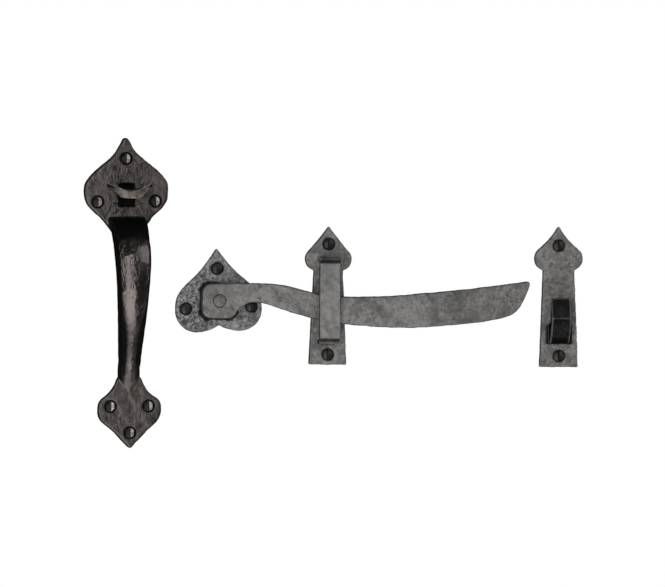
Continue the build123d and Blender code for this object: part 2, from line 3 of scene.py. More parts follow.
import bmesh
import bpy
import numpy as np
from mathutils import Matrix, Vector


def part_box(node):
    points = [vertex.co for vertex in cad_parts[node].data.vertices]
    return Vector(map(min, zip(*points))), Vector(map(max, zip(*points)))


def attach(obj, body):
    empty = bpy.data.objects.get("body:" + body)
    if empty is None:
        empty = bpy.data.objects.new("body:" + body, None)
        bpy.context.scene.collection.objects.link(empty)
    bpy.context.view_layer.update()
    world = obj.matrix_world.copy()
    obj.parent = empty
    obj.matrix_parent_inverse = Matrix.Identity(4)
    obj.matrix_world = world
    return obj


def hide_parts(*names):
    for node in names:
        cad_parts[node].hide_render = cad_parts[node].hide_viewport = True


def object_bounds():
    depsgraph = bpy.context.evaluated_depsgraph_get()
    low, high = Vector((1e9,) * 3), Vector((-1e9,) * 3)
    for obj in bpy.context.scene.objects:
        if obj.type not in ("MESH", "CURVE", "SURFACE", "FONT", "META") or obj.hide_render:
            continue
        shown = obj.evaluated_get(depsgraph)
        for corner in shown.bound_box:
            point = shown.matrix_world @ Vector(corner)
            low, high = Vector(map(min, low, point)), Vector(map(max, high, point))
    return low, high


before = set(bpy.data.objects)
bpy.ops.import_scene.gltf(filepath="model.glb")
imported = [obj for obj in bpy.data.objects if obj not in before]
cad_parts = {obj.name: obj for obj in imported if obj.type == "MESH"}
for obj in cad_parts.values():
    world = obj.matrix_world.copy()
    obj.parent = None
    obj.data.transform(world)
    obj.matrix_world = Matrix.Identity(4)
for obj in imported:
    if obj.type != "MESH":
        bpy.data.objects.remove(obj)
cad_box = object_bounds()

# A rustic black iron gate latch set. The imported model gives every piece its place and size. Here the
# castings get their hammered surface as real relief, the screws get their threads, and every piece
# gets its finish. Lengths are in metres in the model's own frame: X along the gate, -Y out of it, Z up.

MM = 0.001
WHITE = (1.0, 1.0, 1.0, 1.0)

# Camera and picture
PICTURE_WIDTH = 472 * MM
CAMERA_TARGET = (81.1 * MM, -8 * MM, 5.3 * MM)
CAMERA_DISTANCE = 10.0
CAMERA_AZIMUTH = math.radians(-8)
SENSOR_WIDTH = 36.0
CLIP_END = 100.0

# Floor, which ends just in front of the object, so that a low lamp shines up past it
FLOOR_DROP = 140 * MM
FLOOR_HALF_SIZE = 0.9
FLOOR_MIDDLE_Y = 0.84
FLOOR_WHITE = 0.8
FLOOR_TONES = ((0.86, 0.86, 0.86, 1), (0.9, 0.9, 0.9, 1))
FLOOR_CLOUDS = 3.0
FLOOR_ROUGHNESS = 0.8

# World: a soft light, white to the camera, and white in mirrors only towards the back
WORLD_COLOUR = (0.96, 0.97, 1.0, 1.0)
WORLD_LIGHT = 0.22
WORLD_IN_GLOSS = 0.08
WHITE_BEHIND = (-0.1, 0.35)

# Lamps: name, place, aim, width, height, power and colour
LAMPS = (
    ("front_soft", (-0.40, -1.3, -0.2), (-0.066, -0.03, -0.15), 0.85, 1.65, 15, (1.0, 0.985, 0.97)),
    ("low_soft", (-0.33, -0.75, -1.2), (-0.06, -0.03, -0.05), 1.2, 1.0, 15, (1.0, 0.97, 0.95)),
    ("right_key", (1.1, -1.1, 0.8), (0.06, 0, 0), 1.0, 1.2, 8, WHITE[:3]),
    ("right_edge", (0.9, -0.12, 0.1), (0.05, -0.02, 0.02), 0.1, 0.9, 3, WHITE[:3]),
    ("left_edge", (-1.2, 0.1, 0.5), (0.0, 0.0, 0.0), 0.5, 0.9, 4, WHITE[:3]),
    ("rear_soft", (0.4, 1.5, 1.2), (0.08, 0, 0), 1.4, 1.0, 32, WHITE[:3]),
)

# Even meshes that carry the relief: how far apart their points are, for plates and for smooth pieces
PLATE_GRAIN = 0.5 * MM
SMOOTH_GRAIN = 0.4 * MM
WELD = 0.002 * MM
SHARP_EDGE = math.radians(50)

# Marks stored on the castings. Pairs are where a mark starts and where it is complete.
GROUND_SMOOTH = 0.6
BACK_FIXED = (0.2 * MM, 2.0 * MM)
HOLE_RADIUS = 4.1 * MM
BAR_HOLE_RADIUS = 4.2 * MM
HOLE_FIXED = 1.6 * MM
# Painted shade: a dark ring round each hole
HOLE_SHADE = (0.2 * MM, 1.0 * MM)
TURN_PASSES = 3
# Painted shade on rims turned away from the front, half as strong on flanks that face straight sideways
TURNED_AWAY = (0.5, 0.97)
RIM_SHARE = 0.92
FLANK_SHARE = 0.5
DARK_FLANK = (0.08, 0.3)
# Edges that turn this sharply get a lighter colour: partly worn paint, partly painted highlight
EDGE_TURN = (0.05, 0.14)
AREA_FADE = (0.6, 1.3)

# Relief: how its noises are mixed, scaled and cut off. A line is a noise level, its full and faded width.
LEVEL = 0.5
DENT_WANDER = 0.9
DENT_RANGE = (0.1, 0.75)
NOISE_RANGE = (0.25, 0.75)
MARK_SHARE = 0.55
LUMP_SHARE = 0.7
WRINKLE_LINE = (0.5, 0.0, 0.12)
WRINKLED_SCALE = 0.22
WRINKLED_RANGE = (0.42, 0.58)
CRACK_WIDTH = 0.07
CRACKED_SCALE = 0.4
CRACKED_RANGE = (0.56, 0.62)
SNAPPED_SCALE = 2.2
SNAPPED_RANGE = (0.46, 0.56)

# Iron finishes: sizes of their marks, and how much each adds to a tone between dark and light
SMEAR_SIZE = 3.2 * MM
SPECKLE_SIZE = 0.8 * MM
FOLD_SIZE = 2.4 * MM
FINE_SIZE = 0.6 * MM
PATCH_RANGE = (0.32, 0.68)
SMEAR_RANGE = (0.3, 0.7)
SPECKLE_RANGE = (0.35, 0.65)
SHEEN_RANGE = (0.35, 0.65)
FURROW_LINE = (0.44, 0.02, 0.09)
CREST_LINE = (0.58, 0.0, 0.08)
FOLD_LINE = (0.5, 0.0, 0.09)
FOLDED_RANGE = (0.4, 0.6)
PATCH_SHARE = 0.4
SMEAR_SHARE = 0.45
RIDGE_SHARE = 0.5
CREST_SHARE = 0.7
HOLLOW_TO_RIDGE = (0.0, 0.62, 0.15, 1.15)
WEAR_AND_HIGHLIGHT_IN_SMEARS = (0.3, 0.55, 0.35, 1.0)
CRINKLE_HEIGHT = 0.12
HANDLED_TONE = 0.2
HANDLED_ROUGHNESS = 0.42
HANDLED_GLOSS = 1.7
# Painted shade: rims, and the places that a shade function or a hole marks, blend towards this black
RIM_BLACK = (0.003, 0.003, 0.003, 1.0)
RIM_SHADE = 0.93
RIM_ROUGHNESS = 0.75
RIM_DULL = (0.12, 0.45)
WARM_GLOSS = (1.0, 0.88, 0.87)

# Screw and steel finishes
SPOT_SIZE = 1.6 * MM
SPOT_RANGE = (0.35, 0.7)
SPOT_SHEEN = (0.3, 0.7)
SPOT_HEIGHT = 0.05 * MM
TARNISH_SIZE = 4 * MM
TARNISH_RANGE = (0.35, 0.65)
TARNISH_SHEEN = (0.3, 0.7)
TARNISH_SHADE = 0.35
TARNISH_ROUGHER = 0.15
TURNING_SIZE = 0.4 * MM
TURNING_HEIGHT = 0.02 * MM
TURNING_STRENGTH = 0.6

# Pull handle. Folded areas are middle x, middle z, width and height.
HANDLE_PLATE_FRONT = -4.2 * MM
GRIP_RISE = (1 * MM, 13 * MM)
BARE_CREASE = 0.2
ABOVE_PAD = (-61 * MM, 90 * MM, 16 * MM, 13 * MM)
BELOW_PAD = (-66 * MM, 66 * MM, 14 * MM, 6 * MM)
UPPER_GRIP = (-70 * MM, 32 * MM, 9 * MM, 24 * MM)
GRIP_CREASE = 0.45
SLOT_MIDDLE = (-65.8 * MM, 75 * MM)
SLOT_HALF_SIZE = (5.2 * MM, 7.6 * MM)
SLOT_FADE = (0.3 * MM, 1.6 * MM)
PLATE_ONLY = (-6.5 * MM, -6 * MM)
DEEP_SHADE = 0.95

# Thumb lever
PAD_BACK = -12 * MM
PAD_FADE = 3 * MM
HEEL_FILL = 0.14 * MM

# Heart-shaped plate, with painted shade below and left of the bar's square eye
CALM_CREASE = 0.6
HEART_CALM = (-14 * MM, 2 * MM)
EYE_HALF_WIDTH = 12.4 * MM
EYE_FLAT = 6.0 * MM
EYE_SHADE_SIDE = (-20 * MM, -8 * MM)
EYE_SHADE_WIDTH = 1.7 * MM
EYE_SHADE_CORNER = 1.5 * MM
EYE_CORNER = (4 * MM, 9 * MM)
EYE_SHADE_CORE = 0.3

# Guide staple
STAPLE_SIDE = (6.9 * MM, 7.6 * MM)
STAPLE_SHADE = 0.9
STRAP_TURNED = (0.97, 0.998)
STRAP_FLANK = (0.66, 0.8)

# Catch hook, whose rounded nose and long edges get the lighter edge colour, partly worn paint and partly
# painted highlight
HOOK_EDGE_TURN = (0.015, 0.05)

# Screws: their threads, their slots in painted shadow and the painted highlight on the right halves of
# their heads
SCREW_DOME = 1.0 * MM
THREAD_ROOT = 1.62 * MM
THREAD_CREST = 2.1 * MM
THREAD_PITCH = 1.5 * MM
THREAD_START = 10.4 * MM
THREAD_LENGTH = 9.3 * MM
THREAD_STEPS = 28
THREAD_SIDES = 3
SLOT_HALF_WIDTH = 0.66 * MM
SLOT_DEPTHS = (0.25 * MM, 1.2 * MM)
HIGHLIGHT_REACH = 2.7 * MM
HIGHLIGHT_DEPTH = 0.75 * MM


class Wiring:
    """Adds nodes to a tree and joins them, so that a finish reads as a few sums."""

    def __init__(self, tree):
        self.tree = tree

    def node(self, kind, inputs=None, **settings):
        made = self.tree.nodes.new(kind)
        for name, value in settings.items():
            setattr(made, name, value)
        for name, value in (inputs or {}).items():
            self.feed(made.inputs[name], value)
        return made

    def feed(self, socket, value):
        if isinstance(value, bpy.types.NodeSocket):
            self.tree.links.new(value, socket)
        else:
            socket.default_value = value

    def math(self, operation, *values):
        return self.node("ShaderNodeMath", dict(enumerate(values)), operation=operation).outputs[0]

    def times(self, first, *others):
        for other in others:
            first = self.math("MULTIPLY", first, other)
        return first

    def plus(self, first, *others):
        for other in others:
            first = self.math("ADD", first, other)
        return first

    def vector(self, operation, *values):
        made = self.node("ShaderNodeVectorMath", dict(enumerate(values)), operation=operation)
        return made.outputs[0]

    def scaled(self, vector, factor):
        made = self.node("ShaderNodeVectorMath", {0: vector, "Scale": factor}, operation="SCALE")
        return made.outputs[0]

    def ramp(self, value, low, high, to_low=0.0, to_high=1.0, smooth=True):
        made = self.node("ShaderNodeMapRange", {0: value, 1: low, 2: high, 3: to_low, 4: to_high})
        made.interpolation_type = "SMOOTHSTEP" if smooth else "LINEAR"
        return made.outputs[0]

    def band(self, value, level, full, gone):
        """1 where a value is nearer than full to a level, falling to 0 where it is farther than gone."""
        distance = self.math("ABSOLUTE", self.math("SUBTRACT", value, level))
        return self.ramp(distance, full, gone, 1.0, 0.0)

    def noise(self, vector, scale, detail=2.0, roughness=0.5, distortion=0.0):
        made = self.node("ShaderNodeTexNoise", {
            "Vector": vector, "Scale": scale, "Detail": detail,
            "Roughness": roughness, "Distortion": distortion,
        })
        return made.outputs[0]

    def cells(self, vector, scale, feature, **inputs):
        inputs.update({"Vector": vector, "Scale": scale})
        return self.node("ShaderNodeTexVoronoi", inputs, feature=feature).outputs["Distance"]

    def attribute(self, label):
        return self.node("ShaderNodeAttribute", attribute_name=label).outputs["Fac"]

    def named(self, label):
        kind = "GeometryNodeInputNamedAttribute"
        return self.node(kind, {"Name": label}, data_type="FLOAT").outputs[0]

    def blend_colour(self, factor, first, second):
        made = self.node("ShaderNodeMix", data_type="RGBA")
        self.feed(made.inputs[0], factor)
        self.feed(made.inputs[6], first)
        self.feed(made.inputs[7], second)
        return made.outputs[2]

    def bump(self, shader, height, distance=MM, strength=1.0):
        inputs = {"Strength": strength, "Distance": distance, "Height": height}
        self.feed(shader.inputs["Normal"], self.node("ShaderNodeBump", inputs).outputs[0])


# Finishes

def grey(value, warm=0.0):
    """A near-grey colour, a little warmer or cooler."""
    return (value * (1 + warm), value, value * (1 - warm), 1.0)


def new_material(name):
    """A material, its wiring, its surface shader and the place on the object."""
    material = bpy.data.materials.new(name)
    material.use_nodes = True
    wiring = Wiring(material.node_tree)
    place = wiring.node("ShaderNodeTexCoord").outputs["Object"]
    return material, wiring, material.node_tree.nodes["Principled BSDF"], place


def iron_finish(name, dark, light, brightened, rough=(0.34, 0.46), patch=14 * MM, specular=0.4,
                tint=WHITE[:3], wrinkle=0.04, grain=0.012, speckling=0.1, upright=1.0,
                crinkle=0.0, crinkle_size=1.6 * MM):
    """Black paint on iron: two close tones in patches, lighter on ridges, darker in hollows, painted shade
    on rims.
    """
    material, wiring, shader, place = new_material(name)
    relief, ridge, rim, edge, handled, crease = (
        wiring.attribute(label) for label in ("relief", "ridge", "rim", "edge", "handled", "crease")
    )
    long_place = wiring.vector("MULTIPLY", place, (1.0, 1.0, 1.0 / upright))
    patches = wiring.noise(place, 1 / patch, detail=6.0, roughness=0.62)
    smears = wiring.noise(long_place, 1 / SMEAR_SIZE, detail=4.0, roughness=0.6, distortion=0.4)
    speckle = wiring.noise(place, 1 / SPECKLE_SIZE, detail=3.0, roughness=0.7)
    lines = wiring.noise(long_place, 1 / crinkle_size, detail=2.0, roughness=0.55, distortion=0.9)
    furrow = wiring.times(wiring.band(lines, *FURROW_LINE), crease, crinkle)
    crest = wiring.times(wiring.band(lines, *CREST_LINE), crease, crinkle)

    tone = wiring.plus(
        wiring.times(wiring.ramp(patches, *PATCH_RANGE), PATCH_SHARE),
        wiring.times(wiring.ramp(smears, *SMEAR_RANGE), SMEAR_SHARE - speckling),
        wiring.times(wiring.ramp(speckle, *SPECKLE_RANGE), speckling),
        wiring.times(ridge, RIDGE_SHARE),
        wiring.times(crest, CREST_SHARE),
    )
    tone = wiring.times(
        tone,
        wiring.math("SUBTRACT", 1.0, furrow),
        wiring.ramp(relief, *HOLLOW_TO_RIDGE),
        wiring.ramp(handled, 0.0, 1.0, 1.0, HANDLED_TONE),
    )
    colour = wiring.blend_colour(tone, dark, light)
    # Painted shade: rims and shaded places go towards black
    colour = wiring.blend_colour(wiring.times(rim, RIM_SHADE), colour, RIM_BLACK)
    # Lighter edges: partly worn paint, partly a painted highlight
    wear_and_highlight = wiring.times(edge, wiring.ramp(smears, *WEAR_AND_HIGHLIGHT_IN_SMEARS))
    wiring.feed(shader.inputs["Base Color"], wiring.blend_colour(wear_and_highlight, colour, brightened))

    sheen = wiring.plus(wiring.times(patches, 0.5), wiring.times(smears, 0.5))
    roughness = wiring.times(
        wiring.ramp(sheen, *SHEEN_RANGE, *rough),
        wiring.ramp(handled, 0.0, 1.0, 1.0, HANDLED_ROUGHNESS),
    )
    roughness = wiring.math("MAXIMUM", roughness, wiring.times(rim, RIM_ROUGHNESS))
    wiring.feed(shader.inputs["Roughness"], roughness)

    gloss = wiring.times(
        wiring.ramp(rim, *RIM_DULL, specular, 0.0),
        wiring.ramp(handled, 0.0, 1.0, 1.0, HANDLED_GLOSS),
    )
    shader.inputs["Specular Tint"].default_value = (*tint, 1.0)
    shader.inputs["Specular IOR Level"].default_value = specular
    wiring.feed(shader.inputs["Specular IOR Level"], gloss)

    fold = wiring.noise(place, 1 / FOLD_SIZE, detail=2.0, distortion=1.2)
    fold = wiring.times(wiring.band(fold, *FOLD_LINE), wiring.ramp(patches, *FOLDED_RANGE))
    fine = wiring.noise(place, 1 / FINE_SIZE, detail=4.0, roughness=0.65)
    height = wiring.plus(
        wiring.times(fold, wrinkle),
        wiring.times(fine, grain),
        wiring.times(wiring.math("SUBTRACT", crest, furrow), CRINKLE_HEIGHT),
    )
    wiring.bump(shader, height)
    return material


def japanned_finish(name, dark, light, specular=0.3, rough=(0.22, 0.38)):
    """Glossy black in patches, for screws and the rivet."""
    material, wiring, shader, place = new_material(name)
    patches = wiring.noise(place, 1 / SPOT_SIZE, detail=4.0, roughness=0.65)
    colour = wiring.blend_colour(wiring.ramp(patches, *SPOT_RANGE), dark, light)
    wiring.feed(shader.inputs["Base Color"], colour)
    wiring.feed(shader.inputs["Roughness"], wiring.ramp(patches, *SPOT_SHEEN, *rough))
    shader.inputs["Specular IOR Level"].default_value = specular
    wiring.bump(shader, patches, SPOT_HEIGHT)
    return material


def plain_steel_finish(name, colour, roughness):
    """Bare steel with fine turning marks, for the washer and the cross pin."""
    material, wiring, shader, place = new_material(name)
    tarnish = wiring.noise(place, 1 / TARNISH_SIZE, detail=5.0, roughness=0.65)
    darker = tuple(TARNISH_SHADE * part for part in colour[:3]) + (1.0,)
    shade = wiring.blend_colour(wiring.ramp(tarnish, *TARNISH_RANGE), darker, colour)
    wiring.feed(shader.inputs["Base Color"], shade)
    dulled = wiring.ramp(tarnish, *TARNISH_SHEEN, roughness + TARNISH_ROUGHER, roughness)
    wiring.feed(shader.inputs["Roughness"], dulled)
    shader.inputs["Metallic"].default_value = 1.0
    marks = wiring.noise(place, 1 / TURNING_SIZE, detail=2.0)
    wiring.bump(shader, marks, TURNING_HEIGHT, TURNING_STRENGTH)
    return material


handle_iron = iron_finish(
    "handle_iron", grey(0.002, 0.10), grey(0.040, 0.10), grey(0.05, 0.05), rough=(0.28, 0.40), specular=0.5,
    tint=WARM_GLOSS, wrinkle=0.05, grain=0.006, speckling=0.05, upright=3.0,
    crinkle=1.0, crinkle_size=3.4 * MM,
)
lever_iron = iron_finish(
    "lever_iron", grey(0.003, 0.05), grey(0.075, 0.15), grey(0.18, 0.04), rough=(0.28, 0.4), specular=0.5,
    tint=WARM_GLOSS, wrinkle=0.02, grain=0.005, speckling=0.04,
)
heart_iron = iron_finish(
    "heart_iron", grey(0.003, -0.03), grey(0.215, -0.01), grey(0.20, -0.02), patch=9 * MM,
    wrinkle=0.07, grain=0.03, speckling=0.25, crinkle=0.8, crinkle_size=2.1 * MM,
)
plate_iron = iron_finish(
    "plate_iron", grey(0.047, 0.035), grey(0.140, 0.035), grey(0.16, 0.03),
    crinkle=0.4, crinkle_size=3.2 * MM,
)
bar_iron = iron_finish(
    "bar_iron", grey(0.040, 0.02), grey(0.150, 0.015), grey(0.17, 0.02), patch=22 * MM,
    crinkle=0.25, crinkle_size=4 * MM,
)
strap_iron = iron_finish(
    "strap_iron", grey(0.064, 0.01), grey(0.190, 0.01), grey(0.22, 0.02), rough=(0.34, 0.44), patch=18 * MM,
    wrinkle=0.015, grain=0.008, speckling=0.06,
)
hook_iron = iron_finish(
    "hook_iron", grey(0.002), grey(0.005, -0.03), grey(0.06), rough=(0.2, 0.3), specular=0.2,
    wrinkle=0.008, grain=0.003, speckling=0.0,
)
slot_shadow = japanned_finish("slot_shadow", grey(0.002), grey(0.006))
screw_iron = japanned_finish("screw_iron", grey(0.002), grey(0.010, 0.03), specular=0.12, rough=(0.3, 0.42))
# Painted highlight for the right half of each handle screw's head
highlighted_screw_iron = japanned_finish(
    "highlighted_screw_iron", grey(0.10, 0.03), grey(0.42, 0.03), specular=0.9, rough=(0.3, 0.42),
)
dark_screw_iron = japanned_finish("dark_screw_iron", grey(0.002), grey(0.012), rough=(0.34, 0.5))
rivet_iron = japanned_finish("rivet_iron", grey(0.05, 0.02), grey(0.14, 0.02), rough=(0.34, 0.46))
dull_steel = plain_steel_finish("dull_steel", (0.30, 0.29, 0.28, 1.0), 0.38)


# Relief of the castings, made by geometry nodes

def new_tree(name, sockets):
    """A geometry node tree with named inputs; returns it with its input and output nodes."""
    tree = bpy.data.node_groups.new(name, "GeometryNodeTree")
    tree.interface.new_socket("Geometry", in_out="INPUT", socket_type="NodeSocketGeometry")
    for label, kind, default in sockets:
        socket = tree.interface.new_socket(label, in_out="INPUT", socket_type=kind)
        if default is not None:
            socket.default_value = default
    tree.interface.new_socket("Geometry", in_out="OUTPUT", socket_type="NodeSocketGeometry")
    return tree, tree.nodes.new("NodeGroupInput"), tree.nodes.new("NodeGroupOutput")


def finish_tree(wiring, geometry, given, result):
    """Ends a tree: real geometry, in the given finish."""
    realize = wiring.node("GeometryNodeRealizeInstances", {"Geometry": geometry})
    paint = wiring.node("GeometryNodeSetMaterial", {
        "Geometry": realize.outputs[0], "Material": given.outputs["Finish"],
    })
    wiring.feed(result.inputs["Geometry"], paint.outputs[0])


def hammered_tree():
    """Moves a fine mesh in and out along its normals, as hammer marks and a rough mould leave it.

    It also stores the relief, which is LEVEL on the mean surface, and the ridges for the finish to read.
    """
    tree, given, result = new_tree("hammered surface", [
        ("Dent size", "NodeSocketFloat", 6 * MM),
        ("Dent depth", "NodeSocketFloat", 0.3 * MM),
        ("Wrinkle size", "NodeSocketFloat", 3 * MM),
        ("Wrinkle height", "NodeSocketFloat", 0.2 * MM),
        ("Wrinkle stretch", "NodeSocketFloat", 1.0),
        ("Crack size", "NodeSocketFloat", 6 * MM),
        ("Crack depth", "NodeSocketFloat", 0.0),
        ("Grain size", "NodeSocketFloat", 1.6 * MM),
        ("Grain depth", "NodeSocketFloat", 0.08 * MM),
        ("Seed", "NodeSocketFloat", 0.0),
        ("Finish", "NodeSocketMaterial", None),
    ])
    wiring = Wiring(tree)
    value_of = given.outputs
    seed = value_of["Seed"]
    outward = tree.nodes.new("GeometryNodeInputNormal").outputs[0]
    offset = wiring.node("ShaderNodeCombineXYZ", {0: seed, 1: 0.0, 2: seed}).outputs[0]
    place = wiring.vector("ADD", tree.nodes.new("GeometryNodeInputPosition").outputs[0], offset)

    def per(label):
        return wiring.math("DIVIDE", 1.0, value_of[label])

    def around_zero(value, low, high):
        return wiring.ramp(value, low, high, -0.5, 0.5)

    wander = wiring.node("ShaderNodeTexNoise", {
        "Vector": place, "Scale": per("Dent size"), "Detail": 2.0,
    })
    wander = wiring.vector("SUBTRACT", wander.outputs["Color"], (0.5, 0.5, 0.5))
    wander = wiring.scaled(wander, wiring.times(DENT_WANDER, value_of["Dent size"]))
    bent = wiring.vector("ADD", place, wander)

    marks = wiring.cells(bent, per("Dent size"), "SMOOTH_F1", Smoothness=0.5)
    marks = around_zero(marks, *DENT_RANGE)
    lumps = around_zero(wiring.noise(place, per("Dent size"), detail=3.0), *NOISE_RANGE)
    dents = wiring.plus(wiring.times(marks, MARK_SHARE), wiring.times(lumps, LUMP_SHARE))

    upright = wiring.node("ShaderNodeCombineXYZ", {0: 1.0, 1: 1.0, 2: per("Wrinkle stretch")}).outputs[0]
    folds = wiring.noise(wiring.vector("MULTIPLY", bent, upright), per("Wrinkle size"), detail=2.0,
                         roughness=0.55, distortion=0.8)
    wrinkled = wiring.noise(place, wiring.times(per("Wrinkle size"), WRINKLED_SCALE), detail=2.0)
    folds = wiring.times(
        wiring.band(folds, *WRINKLE_LINE),
        wiring.ramp(wrinkled, *WRINKLED_RANGE),
        wiring.named("crease"),
    )

    cracks = wiring.cells(bent, per("Crack size"), "DISTANCE_TO_EDGE")
    cracked = wiring.noise(place, wiring.times(per("Crack size"), CRACKED_SCALE), detail=2.0)
    snapped = wiring.noise(bent, wiring.times(per("Crack size"), SNAPPED_SCALE), detail=2.0)
    cracks = wiring.times(
        wiring.ramp(cracks, 0.0, CRACK_WIDTH, -1.0, 0.0),
        wiring.ramp(cracked, *CRACKED_RANGE),
        wiring.ramp(snapped, *SNAPPED_RANGE),
    )

    grain = wiring.noise(place, per("Grain size"), detail=3.0, roughness=0.6)
    grain = around_zero(grain, *NOISE_RANGE)

    height = wiring.plus(
        wiring.times(dents, value_of["Dent depth"]),
        wiring.times(folds, value_of["Wrinkle height"]),
        wiring.times(cracks, value_of["Crack depth"]),
        wiring.times(grain, value_of["Grain depth"]),
    )
    height = wiring.plus(wiring.times(height, wiring.named("free")), wiring.named("swell"))
    cut = wiring.times(cracks, wiring.math("GREATER_THAN", value_of["Crack depth"], 0.0))
    relief = wiring.plus(wiring.times(dents, LEVEL), cut, LEVEL)

    geometry = value_of["Geometry"]
    for label, value in (("relief", relief), ("ridge", folds)):
        geometry = wiring.node("GeometryNodeStoreNamedAttribute", {
            "Geometry": geometry, "Name": label, "Value": value,
        }, data_type="FLOAT", domain="POINT").outputs[0]
    move = wiring.node("GeometryNodeSetPosition", {
        "Geometry": geometry, "Offset": wiring.scaled(outward, height),
    })
    finish_tree(wiring, move.outputs[0], given, result)
    return tree


def new_piece(name, data):
    """An object in the scene: a piece, a lamp or the camera."""
    piece = bpy.data.objects.new(name, data)
    bpy.context.scene.collection.objects.link(piece)
    return piece


def evaluated_mesh(piece):
    """The piece's mesh as its modifiers make it."""
    graph = bpy.context.evaluated_depsgraph_get()
    graph.update()
    return bpy.data.meshes.new_from_object(piece.evaluated_get(graph), depsgraph=graph)


def baked(piece, tree, values):
    """Runs a tree on a piece with the given inputs and keeps the result as its plain mesh."""
    modifier = piece.modifiers.new(tree.name, "NODES")
    modifier.node_group = tree
    for item in tree.interface.items_tree:
        if item.item_type == "SOCKET" and item.in_out == "INPUT" and item.name in values:
            modifier[item.identifier] = values[item.name]
    piece.data = evaluated_mesh(piece)
    piece.modifiers.clear()
    piece.data.name = piece.name


def fine_copy(node, name, grain):
    """A new piece with the node's own form, on an even mesh fine enough to carry relief."""
    grid = bmesh.new()
    grid.from_mesh(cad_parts[node].data)
    bmesh.ops.remove_doubles(grid, verts=grid.verts, dist=WELD)
    mesh = bpy.data.meshes.new(name)
    grid.to_mesh(mesh)
    grid.free()
    piece = new_piece(name, mesh)
    remesh = piece.modifiers.new("even mesh", "REMESH")
    remesh.mode = "VOXEL"
    remesh.voxel_size = grain
    piece.data = evaluated_mesh(piece)
    piece.modifiers.clear()
    return piece


def smooth_step(values, low, high):
    share = np.clip((values - low) / (high - low), 0, 1)
    return share * share * (3 - 2 * share)


def form_of(piece):
    """Each point's place and normal, and how sharply the surface turns outward there."""
    mesh = piece.data
    count = len(mesh.vertices)
    places, normals = np.zeros(count * 3), np.zeros(count * 3)
    mesh.vertices.foreach_get("co", places)
    mesh.vertices.foreach_get("normal", normals)
    places, normals = places.reshape(-1, 3), normals.reshape(-1, 3)
    ends = np.zeros(len(mesh.edges) * 2, dtype=np.int32)
    mesh.edges.foreach_get("vertices", ends)
    ends = ends.reshape(-1, 2)
    both = np.concatenate([ends, ends[:, ::-1]])
    number = np.maximum(np.bincount(both[:, 0], minlength=count), 1)

    def spread(values):
        return np.bincount(both[:, 0], weights=values[both[:, 1]], minlength=count) / number

    mean = np.stack([spread(places[:, axis]) for axis in range(3)], axis=1)
    turn = np.sum((places - mean) * normals, axis=1)
    for _ in range(TURN_PASSES):
        turn = 0.5 * turn + 0.5 * spread(turn)
    return places, normals, turn


def store(piece, label, values):
    attribute = piece.data.attributes.new(label, "FLOAT", "POINT")
    attribute.data.foreach_set("value", values.astype(np.float32))


def mark_form(piece, grain, holes, strength, crease, shade, swell, turned, flank, edge_turn):
    """Stores how far each point may move, its creases, handling, painted shade, and edges lighter with wear
    and painted highlight.

    Nothing moves at the back, nor beside a screw hole or pivot, where pieces touch.
    """
    places, normals, turn = form_of(piece)
    firm = strength(places)
    free = firm * smooth_step(-places[:, 1], *BACK_FIXED)
    dark = shade(places)
    for x, z, radius in holes:
        away = np.hypot(places[:, 0] - x, places[:, 2] - z) - radius
        free = free * smooth_step(away, 0.0, HOLE_FIXED)
        # Painted shade: a dark ring round each hole, where a head or the pivot stands proud of the plate
        dark = np.maximum(dark, 1.0 - smooth_step(away, *HOLE_SHADE))
    facing = np.abs(normals[:, 1])
    # Painted shade on rims; the painted shade of the shade function and the holes joins it below
    rim = RIM_SHARE * (1.0 - smooth_step(facing, *turned))
    rim = rim * (FLANK_SHARE + (1.0 - FLANK_SHARE) * smooth_step(facing, *flank))
    store(piece, "free", free)
    store(piece, "crease", crease(places))
    store(piece, "swell", swell(places))
    store(piece, "handled", (1.0 - firm) / GROUND_SMOOTH)
    store(piece, "rim", np.maximum(rim, dark))
    # Lighter edges, partly worn paint and partly painted highlight, none where there is painted shade
    store(piece, "edge", smooth_step(turn / grain, *edge_turn) * (1.0 - dark))


def finish_piece(piece, body, slot, *nodes):
    """Smooth shading with crisp edges, then the piece's place in the table."""
    piece.data.shade_smooth()
    piece.data.set_sharp_from_angle(angle=SHARP_EDGE)
    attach(piece, body)
    if nodes:
        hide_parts(*nodes)


def middle_of(node):
    """The middle of a node's box, seen from the front."""
    low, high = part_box(node)
    return (low[0] + high[0]) / 2, (low[2] + high[2]) / 2


screw_names = sorted(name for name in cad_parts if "_screw_" in name)
staple_x = middle_of("guide_staple")[0]
hammered = hammered_tree()


def holes_for(prefix):
    """Middle and radius of each screw hole in a plate."""
    return [(*middle_of(name), HOLE_RADIUS) for name in screw_names if name.startswith(prefix)]


def even(places):
    """The same all over."""
    return np.ones(len(places))


def nowhere(places):
    """None at all."""
    return np.zeros(len(places))


def within(places, x, z, width, height):
    """1 round a point of the front, fading to 0 about a width and a height away from it."""
    away = np.hypot((places[:, 0] - x) / width, (places[:, 2] - z) / height)
    return 1.0 - smooth_step(away, *AREA_FADE)


def handle_strength(places):
    """Full relief on the handle's rough plates, less on the grip, which was ground and handled."""
    return 1.0 - GROUND_SMOOTH * smooth_step(HANDLE_PLATE_FRONT - places[:, 1], *GRIP_RISE)


def handle_crease(places):
    """Long folds above and below the thumb pad, few elsewhere."""
    folded = np.maximum(within(places, *ABOVE_PAD), within(places, *BELOW_PAD))
    folded = np.maximum(folded, GRIP_CREASE * within(places, *UPPER_GRIP))
    return BARE_CREASE + (1.0 - BARE_CREASE) * folded


